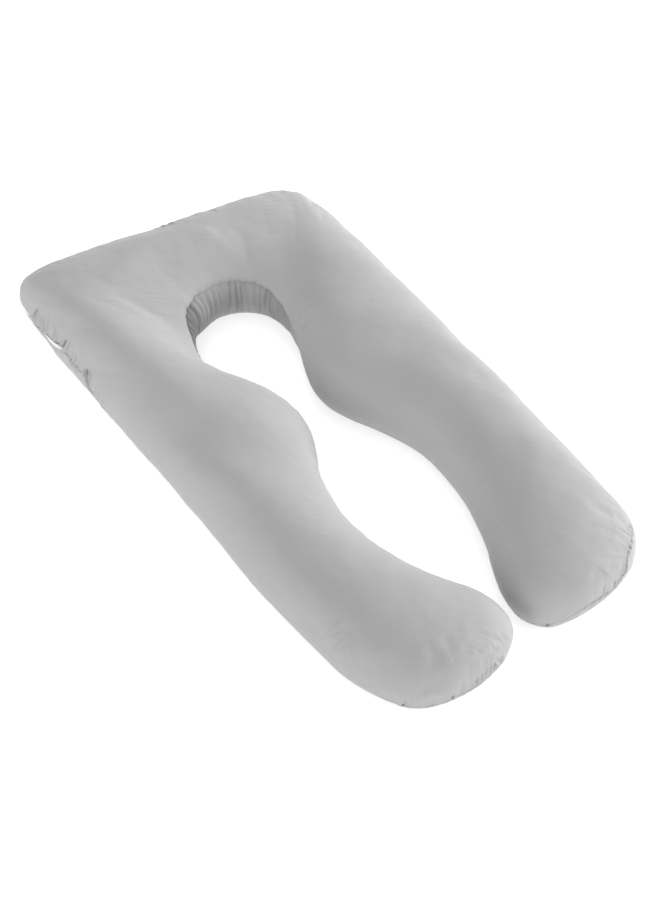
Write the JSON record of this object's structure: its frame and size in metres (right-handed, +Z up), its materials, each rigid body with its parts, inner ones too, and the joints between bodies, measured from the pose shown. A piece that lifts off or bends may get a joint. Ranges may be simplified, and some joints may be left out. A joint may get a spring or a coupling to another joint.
{
  "type": "u-shaped body pillow",
  "caption": "Plump U-shaped full-body pillow in a plain grey cotton cover, with a gathered band round the neck opening and a zip in the side seam, lying on its back.",
  "frame": {"origin": "under the middle of the pillow's box, on the surface that it lies on", "axes": "+Y to the closed head end, -Y to the leg tips, +X to the right leg seen from above with the head up, +Z up"},
  "size_m": [0.7102, 1.4136, 0.1735],
  "materials": {
    "cover": "plain woven cotton, matt, mid grey",
    "zip_tape": "white woven tape with a fine coil"
  },
  "bodies": {
    "root": {"pillow": "cover", "neck_band": "cover", "zip": "zip_tape"}
  },
  "joints": []
}
